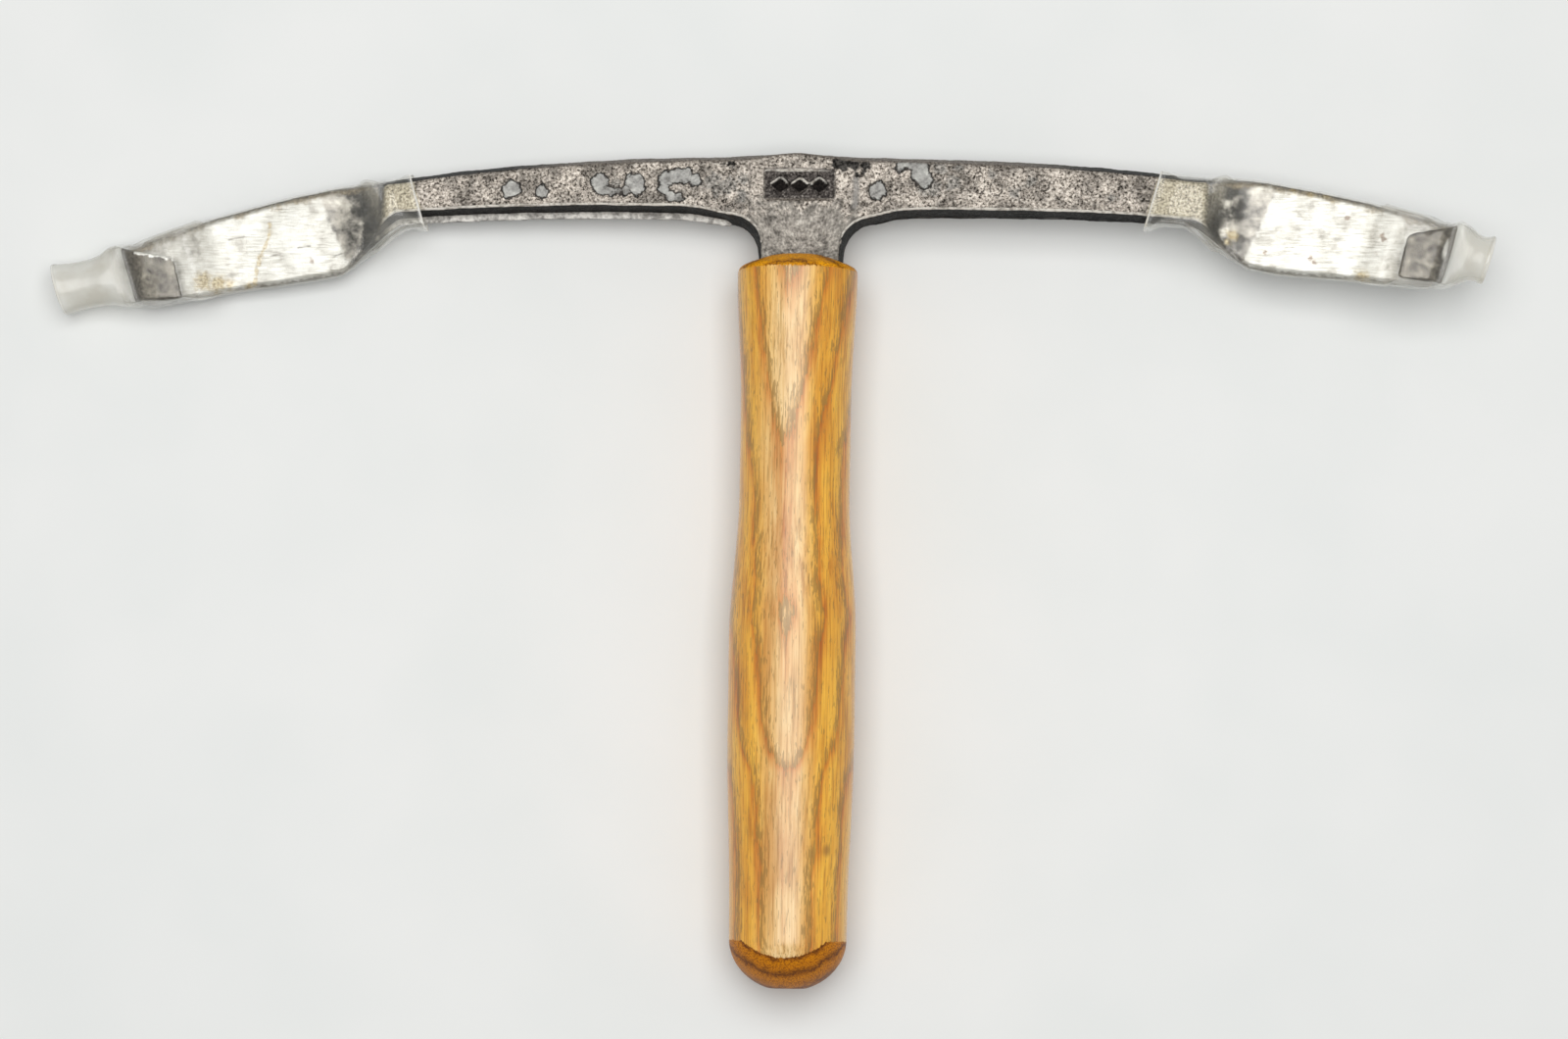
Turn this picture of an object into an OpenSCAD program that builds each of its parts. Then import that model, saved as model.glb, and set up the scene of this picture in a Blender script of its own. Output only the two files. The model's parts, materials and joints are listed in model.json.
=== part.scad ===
// A hand-forged tool with a hooked blade at each end of a cross head and a short ash handle.
// A clear sleeve is pulled over each blade. The tool lies on its back on a bench,
// rolled on its round handle until the left sleeve touches.
// The tool's own frame: x along the head, y up the handle from its shoulder, z to the front.

/* [Handle] */
// Length of the handle from its shoulder to the butt
handle_l = 220; // [190:1:260]
// Radius of the straight grip, the widest stretch of the handle
grip_r = 19.5; // [18.6:0.1:22]
// Length of the straight grip
grip_l = 26; // [16:1:32]
// Distance from the shoulder to the middle of the grip
grip_at = 126; // [112:1:140]
// Radius at the shoulder, under the head
shoulder_r = 18.6; // [17.5:0.1:20]
// Radius of the waist above the grip
waist_r = 17; // [15:0.1:18]
// Length of the waist
waist_l = 28; // [10:1:36]
// Distance from the shoulder to the middle of the waist
waist_at = 56; // [45:1:70]
// Radius of the handle where the butt starts to round over
butt_r = 18; // [16:0.1:18.5]
// Length of the rounded butt
butt_dome = 15; // [8:0.5:20]
// Radius of the small flat at the end of the butt
butt_flat_r = 5.5; // [3:0.5:8]
// Height of the domed top of the handle above its shoulder
top_dome = 5.5; // [3:0.1:7]

/* [Neck and tang] */
// Height above the handle's shoulder at which the neck sits in the wood
seat_y = 1; // [0.5:0.1:1.5]
// Width of the neck at the front
neck_w = 24.8; // [20:0.1:28]
// How much wider the neck is at the back, on each side
neck_flare = 1; // [0.6:0.1:2]
// How far the neck sits to the right of the handle's axis
neck_shift = 0.8; // [0:0.1:1.5]
// Radius of the hollow between the neck and each arm
fillet_r = 10; // [6:0.5:12]
// Width of the tang where it leaves the neck
tang_w = 12; // [9:0.5:12.5]
// Thickness of the tang where it leaves the neck
tang_t = 9.5; // [7:0.5:10]
// Width of the tang at its end
tang_end_w = 6; // [4:0.5:8]
// Thickness of the tang at its end
tang_end_t = 5; // [3:0.5:6]
// Length of the tang below the neck
tang_l = 88; // [60:1:110]
// Radius of the hole bored for the tang, filled with resin
bore_r = 8.6; // [8.4:0.1:10]
// How much deeper the hole is than the tang
bore_spare = 4; // [2:0.5:10]
// Clearance round the neck in its seat in the wood
seat_gap = 0.3; // [0.2:0.05:0.5]

/* [Centre of the head] */
// Height of the head's top edge above the handle's shoulder
head_top = 36.9; // [34:0.1:42]
// Height of the centre block, measured over the back and without the neck
root_h = 21.5; // [19.5:0.1:23]
// How far each arm's top edge starts below the top of the block
arm_step = 0.8; // [0:0.1:1.5]
// Front of the centre block above the handle's axis
block_front = 6.5; // [5.5:0.1:8]
// Back of the head below the handle's axis
head_back = 6; // [5:0.1:7]
// How far the back of the centre block stands proud of the arms
block_proud = 0.6; // [0.4:0.1:1]
// Half the width of the centre block
block_half = 18; // [16:0.5:22]
// Width of the sunk panel on the front of the block
panel_w = 21.6; // [16:0.2:23]
// Height of the sunk panel
panel_h = 9.4; // [7:0.2:10.5]
// Depth of the sunk panel
panel_deep = 0.8; // [0.5:0.1:1.2]
// Width of each lozenge punched in the panel
lozenge_w = 7; // [4:0.5:7]
// Height of each lozenge
lozenge_h = 5.6; // [4:0.2:6.5]
// Depth of the lozenges below the panel
lozenge_deep = 0.8; // [0.4:0.1:1.2]

/* [Arms] */
// Length of the left arm from the handle's axis to the start of its blade
left_arm_l = 124; // [110:1:140]
// Length of the right arm from the handle's axis to the start of its blade
right_arm_l = 121; // [105:1:135]
// How far the top edge of the left arm drops along its length
left_arm_drop = 7.9; // [5:0.2:12]
// How far the top edge of the right arm drops along its length
right_arm_drop = 5.2; // [4:0.2:10]
// Height of each arm beside the centre block
arm_root_h = 19.2; // [17:0.1:20.5]
// Height of the left arm at its end
left_arm_h = 15.2; // [13:0.2:18]
// Height of the right arm at its end
right_arm_h = 16.2; // [13:0.2:18]
// Front of the left arm at its end, above the handle's axis
left_arm_front = 4; // [2:0.1:5]
// Front of the right arm at its end, above the handle's axis
right_arm_front = 3; // [2:0.1:5]
// How far the under edge of the left arm sags below the line from its root to its end
left_sag = 2.4; // [0:0.1:3]
// How far the under edge of the right arm sags below the line from its root to its end
right_sag = 1.1; // [0:0.1:3]
// How far the top side slants in from back to front
arm_slant = 2.5; // [2:0.1:4.5]
// How far the under side of the left arm slants in
left_under_slant = 3; // [1.5:0.1:3.5]
// How far the under side of the right arm slants in
right_under_slant = 1.4; // [0.6:0.1:3]
// Width of the ledge under the left arm
left_ledge = 2.1; // [0.5:0.1:2.4]
// Width of the ledge under the right arm
right_ledge = 0.4; // [0.2:0.1:0.8]
// Thickness of the ledge at the back
ledge_t = 1.4; // [1:0.1:2]
// Rounding of the forged edges
edge = 0.8; // [0.4:0.1:1]

/* [Blades] */
// Length of the left blade from the end of its arm to the fold at its tip
left_blade_l = 84.5; // [70:0.5:100]
// Length of the right blade from the end of its arm to the fold at its tip
right_blade_l = 79.5; // [66:0.5:95]
// How far the top edge of the left blade drops from the arm to the tip
left_blade_drop = 23; // [14:0.2:28]
// How far the top edge of the right blade drops from the arm to the tip
right_blade_drop = 16; // [8:0.2:22]
// Length over which the left arm spreads to its blade
left_spread_l = 18; // [14:0.5:24]
// Length over which the right arm spreads to its blade
right_spread_l = 18; // [14:0.5:24]
// How far the top edge of the left blade rises past the line of its arm
left_shoulder = 0.3; // [0:0.1:2.5]
// How far the top edge of the right blade rises past the line of its arm
right_shoulder = 1.5; // [0:0.1:2.5]
// Width of the left blade at its widest
left_blade_w = 28.1; // [22:0.2:32]
// Width of the right blade at its widest
right_blade_w = 28.3; // [22:0.2:32]
// Width of the left blade at its tip
left_tip_w = 20.5; // [17:0.2:23]
// Width of the right blade at its tip
right_tip_w = 20.7; // [17:0.2:23]
// Thickness of the blades
blade_t = 3; // [2.2:0.1:3.6]
// Slope of the left tip's fold, as length per height
left_tilt = 0.3; // [0.1:0.01:0.35]
// Slope of the right tip's fold, as length per height
right_tilt = 0.29; // [0.1:0.01:0.35]

/* [Hooks] */
// Gap inside each hook, between the blade and its folded tongue
hook_gap = 6.4; // [5:0.1:8]
// Thickness of each tongue
tongue_t = 2; // [1.4:0.1:2.6]
// Length of the left tongue past the fold
left_tongue_l = 11; // [6:0.5:16]
// Length of the right tongue past the fold
right_tongue_l = 9.5; // [6:0.5:16]
// Width of the left tongue at the fold
left_tongue_w = 16.4; // [10:0.2:17]
// Width of the right tongue at the fold
right_tongue_w = 16.8; // [10:0.2:17]
// Width of both tongues at their ends
tongue_end_w = 14.2; // [8:0.2:16]
// How far both tongues sit below the middle of their blades
tongue_shift = 1.2; // [0:0.1:1.4]

/* [Sleeves] */
// Wall of the clear sleeves
sleeve_wall = 0.7; // [0.6:0.1:1.2]
// Clearance between a sleeve and the steel inside it
sleeve_gap = 0.4; // [0.35:0.05:0.6]
// Inner radius of the left sleeve at its free end
left_tube_r = 7.5; // [6.4:0.1:8]
// Inner radius of the right sleeve at its free end
right_tube_r = 6.8; // [6.4:0.1:8]
// Length of the left arm's end that its sleeve covers
left_cover = 6.5; // [6:0.5:18]
// Length of the right arm's end that its sleeve covers
right_cover = 12.5; // [6:0.5:24]
// Length of the empty tube past the left fold
left_tube_l = 21; // [14:0.5:34]
// Length of the empty tube past the right fold
right_tube_l = 11; // [10:0.5:34]
// Length over which a sleeve draws in from the hook to the empty tube
draw_in = 7; // [5:0.5:9]

/* [Hidden] */

steel = [0.33, 0.32, 0.31];
ash = [0.84, 0.66, 0.36];
resin = [0.72, 0.60, 0.34];
vinyl = [0.86, 0.86, 0.83, 0.5];

// Shapes that the named sizes steer
left_bow = 2.4;
right_bow = 2.8;
blade_curve = 2.2;
blade_bow = 1.6;
tongue_rise = -0.05;
tongue_turn = 0.35;
left_tube_slope = 0.2;
right_tube_slope = 0.13;
slant_share = 0.6;
wall_run = 0.3;
step_start = 3;
step_run = 5;
step_share = 0.7;
bend_steps = 10;
corner_points = 4;
corner_r = 1.1;
lead = 2.5;
loose = 1.2;
nip_share = 0.7;
hook_room = 0.4;
crown = 0.4;
block_fade = 8;
block_low = seat_y + 12;
hook_r = hook_gap / 2;
fold_z = blade_t - head_back + hook_r;
tongue_top = fold_z + hook_r + tongue_t;
tube_z = (tongue_top - head_back) / 2 - sleeve_wall;
butt_y = -handle_l;
seat_half = neck_w / 2 + neck_flare + seat_gap;

function clamp(t) = max(0, min(1, t));
function mix(a, b, t) = a + (b - a) * t;
function ease(t) = (1 - cos(180 * clamp(t))) / 2;
function steps(a, b, n) = [for (i = [1 : n]) mix(a, b, i / n)];

// A side is -1 for left and 1 for right, and u is the distance from the handle's axis
function pick(s, left, right) = s < 0 ? left : right;
function arm_l(s) = pick(s, left_arm_l, right_arm_l);
function arm_drop(s) = pick(s, left_arm_drop, right_arm_drop);
function bow(s) = pick(s, left_bow, right_bow);
function arm_h(s) = pick(s, left_arm_h, right_arm_h);
function arm_front(s) = pick(s, left_arm_front, right_arm_front);
function sag(s) = pick(s, left_sag, right_sag);
function under_slant(s) = pick(s, left_under_slant, right_under_slant);
function ledge(s) = pick(s, left_ledge, right_ledge);
function tip_l(s) = arm_l(s) + pick(s, left_blade_l, right_blade_l);
function blade_drop(s) = pick(s, left_blade_drop, right_blade_drop);
function blade_w(s) = pick(s, left_blade_w, right_blade_w);
function tip_w(s) = pick(s, left_tip_w, right_tip_w);
function tilt(s) = pick(s, left_tilt, right_tilt);
function blade_at(s) = arm_l(s) + pick(s, left_spread_l, right_spread_l);
function tongue_l(s) = pick(s, left_tongue_l, right_tongue_l);
function tongue_w(s) = pick(s, left_tongue_w, right_tongue_w);
function shoulder(s) = pick(s, left_shoulder, right_shoulder);
function tube_r(s) = pick(s, left_tube_r, right_tube_r);
function tube_slope(s) = pick(s, left_tube_slope, right_tube_slope);
function tube_out(s) = tube_r(s) + sleeve_wall;
function mouth(s) = arm_l(s) - pick(s, left_cover, right_cover);
function tube_end(s) = tip_l(s) + pick(s, left_tube_l, right_tube_l);
function fold_u(s) = tip_l(s) - hook_r - blade_t;
function neck_half(s) = neck_w / 2 + s * neck_shift;

// Edges of the head, seen from the front
function arm_slope(s) = arm_drop(s) * bow(s) / arm_l(s);
function blade_top(s, v) =
    let (reach = tip_l(s) - arm_l(s), curve = blade_drop(s) - arm_slope(s) * reach)
    head_top - arm_step - arm_drop(s) - arm_slope(s) * v - curve * pow(v / reach, blade_curve)
        + shoulder(s) * spread(v / (blade_at(s) - arm_l(s)));
function top_y(s, u) = u < arm_l(s)
    ? head_top - arm_step * ease(u / (block_half + block_fade)) - arm_drop(s) * pow(u / arm_l(s), bow(s))
    : blade_top(s, u - arm_l(s));
function spread(t) = (clamp(t) + ease(t)) / 2;
function sagging(s, u) = sag(s) * ease((u - block_half) / block_fade) * (1 - pow(clamp(u / arm_l(s)), 2));
function plain_h(s, u) = sagging(s, u) +
    mix(root_h, mix(arm_root_h, arm_h(s), clamp(u / arm_l(s))), ease((u - block_half) / (2 * block_fade)));
function arm_width(s, u) =
    mix(plain_h(s, u), blade_w(s), spread((u - arm_l(s)) / (blade_at(s) - arm_l(s))));
function width(s, u) =
    arm_width(s, u) - (blade_w(s) - tip_w(s)) * pow(clamp((u - blade_at(s)) / (tip_l(s) - blade_at(s))), blade_bow);
function web(u, half, arm_y) = u < half
    ? seat_y
    : arm_y - fillet_r + sqrt(max(0, pow(fillet_r, 2) - pow(max(0, half + fillet_r - u), 2)));
function bladeness(s, u) = ease((u - arm_l(s)) / (blade_at(s) - arm_l(s)));
function slant_in(s, u) = under_slant(s) - slant_share * sag(s) * (1 - ease((u - block_half) / block_fade));
function under(s, u) = mix(slant_in(s, u), edge, bladeness(s, u));
function back_low(s, u) = web(u, neck_half(s) + neck_flare, top_y(s, u) - width(s, u));
function front_low(s, u) = web(u, neck_half(s), top_y(s, u) - width(s, u) + under(s, u));
function mid_y(s, u) = top_y(s, u) - width(s, u) / 2;
function lean(s, u) = tilt(s) * ease((u - arm_l(s)) / (fold_u(s) - arm_l(s)));

// Depths of the head, seen from its end
function step_down(s, u) =
    let (v = u - arm_l(s) - step_start)
    step_share * ease(v / step_run) + (1 - step_share) * ease(v / (blade_at(s) - arm_l(s)));
function front_z(s, u) =
    mix(mix(block_front, arm_front(s), clamp(u / arm_l(s))), blade_t - head_back, step_down(s, u));
function back_z(u) = -head_back - block_proud * ease((block_half + block_fade - u) / block_fade);

// One ring of the head as [u, y, z] points: round the back, up the top side, down the front, in under
function ring(s, u) =
    let (k = lean(s, u), half = width(s, u) / 2, mid = mid_y(s, u))
    let (yt = top_y(s, u + k * half), yb = back_low(s, u - k * half), yf = front_low(s, u - k * half))
    let (zb = -head_back, zf = front_z(s, u), flat = 1 - bladeness(s, u))
    let (slant = mix(edge, mix(arm_slant / 2, arm_slant, ease(u / block_half)), flat))
    let (inner = u < neck_half(s) + neck_flare + fillet_r ? 0 : ledge(s) * flat, yh = yt - slant)
    let (low = u < block_half + block_fade ? max(yb + 2 * edge, block_low) : yb + 2 * edge)
    let (soft = edge / 8, rise = mix(0.25, 1, flat))
    [for (p = [
        [yb + edge, zb],
        [low, back_z(u)],
        [yt - edge, back_z(u)],
        [yt, zb + edge],
        [yh, zf - edge],
        [yh - edge, zf],
        [mix(yh, yf, 0.35), zf + crown * rise],
        [mix(yh, yf, 0.65), zf + crown * rise],
        [yf + edge, zf],
        [yf, zf - edge],
        [yb + inner + soft, zb + ledge_t + edge / 4],
        [yb, zb + ledge_t],
        [yb + soft, zb + edge],
    ]) [u + k * (p[0] - mid), p[0], p[1]]];

// The fold and the tongue carry the blade's last ring round and back over the blade
function fold_ring(s, turn) =
    let (last = ring(s, fold_u(s)), mid = mid_y(s, fold_u(s)), share = turn / 180)
    let (narrow = mix(1, tongue_w(s) / tip_w(s), ease(share)), thin = mix(1, tongue_t / blade_t, share))
    [for (p = last)
        let (q = hook_r + (fold_z - hook_r - p[2]) * thin, y = mid + (p[1] - mid) * narrow - tongue_shift * ease(share))
        [fold_u(s) + tilt(s) * (y - mid) + q * sin(turn), y, fold_z - q * cos(turn)]];
function tongue_ring(s, d) =
    let (mid = mid_y(s, fold_u(s)) - tongue_shift, root = fold_ring(s, 180), t = d / tongue_l(s))
    let (narrow = mix(1, tongue_end_w / tongue_w(s), t) * (1 - 0.1 * ease(5 * t - 4)))
    let (z_mid = tongue_top - tongue_t / 2, thin = 1 - 0.4 * ease(5 * t - 4))
    [for (p = root)
        let (y = mid + tongue_rise * d + (p[1] - mid) * narrow)
        [p[0] - d - tilt(s) * (p[1] - mid) * tongue_turn * t, y, z_mid + (p[2] - z_mid) * thin]];

function neck_stations(s) =
    let (f = neck_half(s), b = f + neck_flare)
    concat([for (i = [0 : 3]) f * i / 4], [f - wall_run, f, b - wall_run],
        [for (a = [0 : 15 : 90]) b + fillet_r * (1 - cos(a))]);
function stations(s) =
    let (b = neck_half(s) + neck_flare + fillet_r)
    concat(neck_stations(s), steps(b, arm_l(s), 16), steps(arm_l(s), blade_at(s), 14), steps(blade_at(s), fold_u(s), 12));
function half_head(s) =
    concat([for (u = stations(s)) ring(s, u)],
        [for (i = [1 : bend_steps]) fold_ring(s, 180 * i / bend_steps)],
        [for (d = [0.2, 0.4, 0.6, 0.8, 0.9, 1]) tongue_ring(s, d * tongue_l(s))]);
function placed(s, rings) = [for (r = rings) [for (p = r) [s * p[0], p[1], p[2]]]];
function reversed(list) = [for (i = [len(list) - 1 : -1 : 0]) list[i]];
function tail(list) = [for (i = [1 : len(list) - 1]) list[i]];

// A closed solid through rings that all have as many points
module loft(rings) {
    n = len(rings[0]);
    last = len(rings) - 1;
    sides = [for (i = [0 : last - 1], j = [0 : n - 1])
        let (a = i * n + j, b = i * n + (j + 1) % n) each [[a, b + n, b], [a, a + n, b + n]]];
    caps = [[for (j = [0 : n - 1]) j], [for (j = [n - 1 : -1 : 0]) last * n + j]];
    polyhedron(points = [for (r = rings) each r], faces = concat(sides, caps), convexity = 8);
}

module tang_shape() {
    up = 2;
    length = seat_y + tang_l;
    grow = (length + up) / length;
    wide = mix(tang_end_w, tang_w, grow);
    deep = mix(tang_end_t, tang_t, grow);
    corners = [[1, 1], [1, -1], [-1, -1], [-1, 1]];
    top = [for (c = corners) [c[0] * wide / 2, seat_y + up, c[1] * deep / 2]];
    end = [for (c = corners) [c[0] * tang_end_w / 2, -tang_l, c[1] * tang_end_t / 2]];
    loft([end, top]);
}

module lozenge(x) {
    translate([x, 0])
        polygon([[-lozenge_w / 2, 0], [0, lozenge_h / 2], [lozenge_w / 2, 0], [0, -lozenge_h / 2]]);
}

module panel_cut() {
    floor_z = block_front - panel_deep;
    translate([neck_shift / 2, (head_top + seat_y + block_low) / 2]) {
        translate([-panel_w / 2, -panel_h / 2, floor_z])
            cube([panel_w, panel_h, 2 * panel_deep + crown]);
        translate([0, 0, floor_z - lozenge_deep])
            linear_extrude(lozenge_deep + panel_deep)
                for (i = [-1 : 1]) lozenge(i * (lozenge_w - 1));
    }
}

// The handle's outline: eased from one [height, radius] to the next, then an elliptical butt
waist_top = waist_l / 2 - waist_at;
waist_low = -waist_l / 2 - waist_at;
grip_top = grip_l / 2 - grip_at;
grip_low = -grip_l / 2 - grip_at;
girths = [[-edge, shoulder_r], [waist_top, waist_r], [waist_low, waist_r], [grip_top, grip_r],
    [grip_low, grip_r], [butt_y + butt_dome, butt_r]];
function girth_run(a, b) = a[1] == b[1] ? [[b[1], b[0]]]
    : [for (t = steps(0, 1, 12)) [mix(a[1], b[1], ease(t)), mix(a[0], b[0], t)]];
function dome_point(r) = [r, top_dome * (1 - pow(r / shoulder_r, 2))];
butt_turn = asin(butt_flat_r / butt_r);
butt_arc = [for (t = steps(90, butt_turn, 14)) [butt_r * sin(t), butt_y + butt_dome * (1 - cos(t) / cos(butt_turn))]];
handle_outline = concat([[0, top_dome]], [for (i = [1 : 8]) dome_point((shoulder_r - edge) * i / 8)],
    [[shoulder_r, -edge]], [for (i = [0 : len(girths) - 2]) each girth_run(girths[i], girths[i + 1])],
    butt_arc, [[0, butt_y]]);

// The sleeves: rounded boxes round the steel, turned into a round tube past the fold
function draw(s, u) = ease((u - tip_l(s) - sleeve_gap) / draw_in);
function hook_lift(s, u) =
    ease((u - fold_u(s) + tongue_l(s) + tilt(s) * tongue_w(s) + 6) / 5);
function sleeve_low(s, u) =
    let (far = blade_at(s), wide = u < far ? width(s, min(u + lead, far)) : width(s, u))
    top_y(s, u) - wide - sleeve_gap - loose * ease((far - u) / (far - arm_l(s)));
function sleeve_size(s, u) =
    let (v = min(u, fold_u(s)), half = width(s, v) / 2, k = tilt(s), t = draw(s, u))
    let (lift = hook_lift(s, u), yt = top_y(s, v + k * half) + sleeve_gap)
    let (yb = sleeve_low(s, v - k * half) - hook_room * lift)
    let (tube_y = mid_y(s, fold_u(s)) - tube_slope(s) * (u - fold_u(s)), out = -head_back - sleeve_gap)
    let (zf = max(front_z(s, u - k * half), front_z(s, u)) + crown * (1 - bladeness(s, u - k * half)))
    let (zt = mix(zf, tongue_top, lift) + sleeve_gap, r = tube_r(s))
    let (hook_in = nip_share * lift * (1 - t) * (tip_w(s) - tongue_w(s) + tongue_shift) / 2)
    let (arm_in = nip_share * arm_slant * (1 - bladeness(s, u)))
    [mix((yt + yb) / 2, tube_y, t), mix((yt - yb) / 2, r, t),
        mix((zt + out) / 2, tube_z, t), mix((zt - out) / 2, r, t), mix(corner_r, r, t),
        max(arm_in, hook_in)];
function sleeve_ring(s, u, wall) =
    let (g = sleeve_size(s, u), r = g[4] + wall, hy = g[1] + wall - r, hz = g[3] + wall - r)
    [for (c = [[1, 1, 0, -g[5]], [-1, 1, 90, 0], [-1, -1, 180, 0], [1, -1, 270, 0]], i = [0 : corner_points - 1])
        let (a = c[2] + 90 * (i + 0.5) / corner_points)
        let (y = c[0] * hy + c[3] + r * cos(a), z = c[1] * hz + r * sin(a))
        [s * (u + tilt(s) * y), g[0] + y, g[2] + z]];
function sleeve_stations(s) =
    concat([mouth(s)], steps(mouth(s), arm_l(s), 3), steps(arm_l(s), blade_at(s) + 6, 12),
        steps(blade_at(s) + 6, fold_u(s) - tongue_l(s) - 10, 3), steps(fold_u(s) - tongue_l(s) - 10, fold_u(s), 6),
        steps(fold_u(s), tip_l(s), 2), steps(tip_l(s), tip_l(s) + draw_in + 1, 6),
        steps(tip_l(s) + draw_in + 1, tube_end(s), 2));

// A tube with an open end and an open mouth, between rings that run outside and back inside
module sleeve_shape(s) {
    out = [for (u = sleeve_stations(s)) sleeve_ring(s, u, sleeve_wall)];
    in = [for (u = sleeve_stations(s)) sleeve_ring(s, u, 0)];
    rings = concat(out, reversed(in));
    n = len(rings[0]);
    count = len(rings);
    faces = [for (i = [0 : count - 1], j = [0 : n - 1])
        let (a = i * n + j, b = i * n + (j + 1) % n, c = (i + 1) % count * n + j, d = (i + 1) % count * n + (j + 1) % n)
        each (s > 0 ? [[a, d, b], [a, c, d]] : [[a, b, d], [a, d, c]])];
    polyhedron(points = [for (r = rings) each r], faces = faces, convexity = 8);
}

// Lying on the bench: the handle rolls until the free end of the left sleeve touches
rest_x = tube_end(-1) + tilt(-1) * tube_out(-1) * sin(45 / corner_points);
rest_z = tube_out(-1) * cos(45 / corner_points) - tube_z;
lay_angle = asin(grip_r / norm([rest_x, rest_z])) - atan2(rest_z, rest_x);
centre_x = (tube_end(1) - tube_end(-1)) / 2 * cos(lay_angle);
centre_y = (head_top + butt_y) / 2;

module lay() {
    translate([-centre_x, -centre_y, grip_r])
        rotate([0, -lay_angle, 0])
            children();
}

module head() {
    color(steel) lay() difference() {
        union() {
            loft(concat(reversed(placed(-1, half_head(-1))), tail(placed(1, half_head(1)))));
            tang_shape();
        }
        panel_cut();
    }
}

module handle() {
    color(ash) lay() difference() {
        rotate([-90, 0, 0]) rotate_extrude($fn = 96) polygon(handle_outline);
        translate([neck_shift - seat_half, seat_y, -head_back - block_proud - seat_gap])
            cube([2 * seat_half, 2 * top_dome, head_back + block_proud + block_front + crown + 2 * seat_gap]);
        translate([0, -tang_l - bore_spare, 0])
            rotate([-90, 0, 0]) cylinder(r = bore_r, h = tang_l + bore_spare + 2 * top_dome, $fn = 64);
    }
}

module tang_bed() {
    color(resin) lay() difference() {
        translate([0, -tang_l - bore_spare, 0])
            rotate([-90, 0, 0]) cylinder(r = bore_r, h = tang_l + bore_spare + seat_y, $fn = 64);
        tang_shape();
    }
}

module left_sleeve() { color(vinyl) lay() sleeve_shape(-1); }
module right_sleeve() { color(vinyl) lay() sleeve_shape(1); }

head();
handle();
tang_bed();
left_sleeve();
right_sleeve();
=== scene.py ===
import json
import math

import bpy
import numpy as np
from mathutils import Matrix, Vector
from mathutils.bvhtree import BVHTree


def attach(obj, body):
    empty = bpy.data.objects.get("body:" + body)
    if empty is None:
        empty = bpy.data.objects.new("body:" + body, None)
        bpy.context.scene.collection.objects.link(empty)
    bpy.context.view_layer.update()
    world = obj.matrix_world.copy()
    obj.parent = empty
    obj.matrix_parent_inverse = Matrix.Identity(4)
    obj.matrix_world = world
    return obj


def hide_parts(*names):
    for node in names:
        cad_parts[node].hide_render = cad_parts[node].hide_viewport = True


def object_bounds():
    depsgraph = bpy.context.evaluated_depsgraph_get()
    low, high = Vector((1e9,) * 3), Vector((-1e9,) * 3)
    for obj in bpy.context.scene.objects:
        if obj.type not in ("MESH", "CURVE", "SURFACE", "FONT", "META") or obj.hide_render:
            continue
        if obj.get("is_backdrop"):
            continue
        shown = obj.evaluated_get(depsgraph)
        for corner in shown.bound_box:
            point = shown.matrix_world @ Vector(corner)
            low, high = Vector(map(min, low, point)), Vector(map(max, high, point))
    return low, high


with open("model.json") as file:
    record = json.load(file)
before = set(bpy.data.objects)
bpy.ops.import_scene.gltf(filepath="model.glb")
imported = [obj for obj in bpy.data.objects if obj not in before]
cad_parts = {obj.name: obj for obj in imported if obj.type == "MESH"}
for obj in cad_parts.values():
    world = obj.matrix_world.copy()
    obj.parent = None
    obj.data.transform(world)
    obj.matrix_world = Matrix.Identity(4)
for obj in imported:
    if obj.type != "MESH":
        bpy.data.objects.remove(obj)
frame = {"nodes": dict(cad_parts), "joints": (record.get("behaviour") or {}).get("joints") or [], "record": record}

cadLow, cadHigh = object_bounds()
mounts = {m["name"]: m for m in frame["record"]["mounts"]}
joints = {j["name"]: j for j in frame["joints"]}

# The tool lies rolled a little on its round handle, so shapes and patterns are worked out
# in millimetres along the tool itself: x along the arms, y up to the head, z out of the face
rollAxis = joints["right_sleeve_slide"]["axis"]
layAngle = math.atan2(rollAxis[2], rollAxis[0])
gripToTop = 0.126  # metres from the grip's mount up to the top of the handle, where y is 0
toolOrigin = Vector(mounts["grip"]["pos_m"]) + Vector((0, gripToTop, 0))
rowToTool = Matrix.Rotation(layAngle, 3, "Y")
toolShift = -1000 * (rowToTool @ toolOrigin)


# Mesh helpers

def toolPoints(piece):
    points = np.empty(len(piece.data.vertices) * 3, np.float32)
    piece.data.vertices.foreach_get("co", points)
    return 1000 * points.reshape(-1, 3).astype(float) @ np.array(rowToTool).T + np.array(toolShift)


def placePoints(piece, points):
    row = (points - np.array(toolShift)) @ np.array(rowToTool) / 1000
    row = np.clip(row, np.array(cadLow), np.array(cadHigh))  # never past the box of the solids
    piece.data.vertices.foreach_set("co", row.astype(np.float32).ravel())
    piece.data.update()


def toolNormals(piece):
    normals = np.empty(len(piece.data.vertices) * 3, np.float32)
    piece.data.vertices.foreach_get("normal", normals)
    return normals.reshape(-1, 3).astype(float) @ np.array(rowToTool).T


def copyNode(nodeName, pieceName):
    bpy.ops.object.select_all(action="DESELECT")
    piece = frame["nodes"][nodeName].copy()
    piece.data = piece.data.copy()
    piece.name = pieceName
    piece.parent = None
    for key in list(piece.keys()):
        del piece[key]
    bpy.context.collection.objects.link(piece)
    piece.data.materials.clear()
    bpy.context.view_layer.objects.active = piece
    piece.select_set(True)
    bpy.ops.object.mode_set(mode="EDIT")
    bpy.ops.mesh.select_all(action="SELECT")
    bpy.ops.mesh.remove_doubles(threshold=0.000002)
    bpy.ops.object.mode_set(mode="OBJECT")
    return piece


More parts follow.
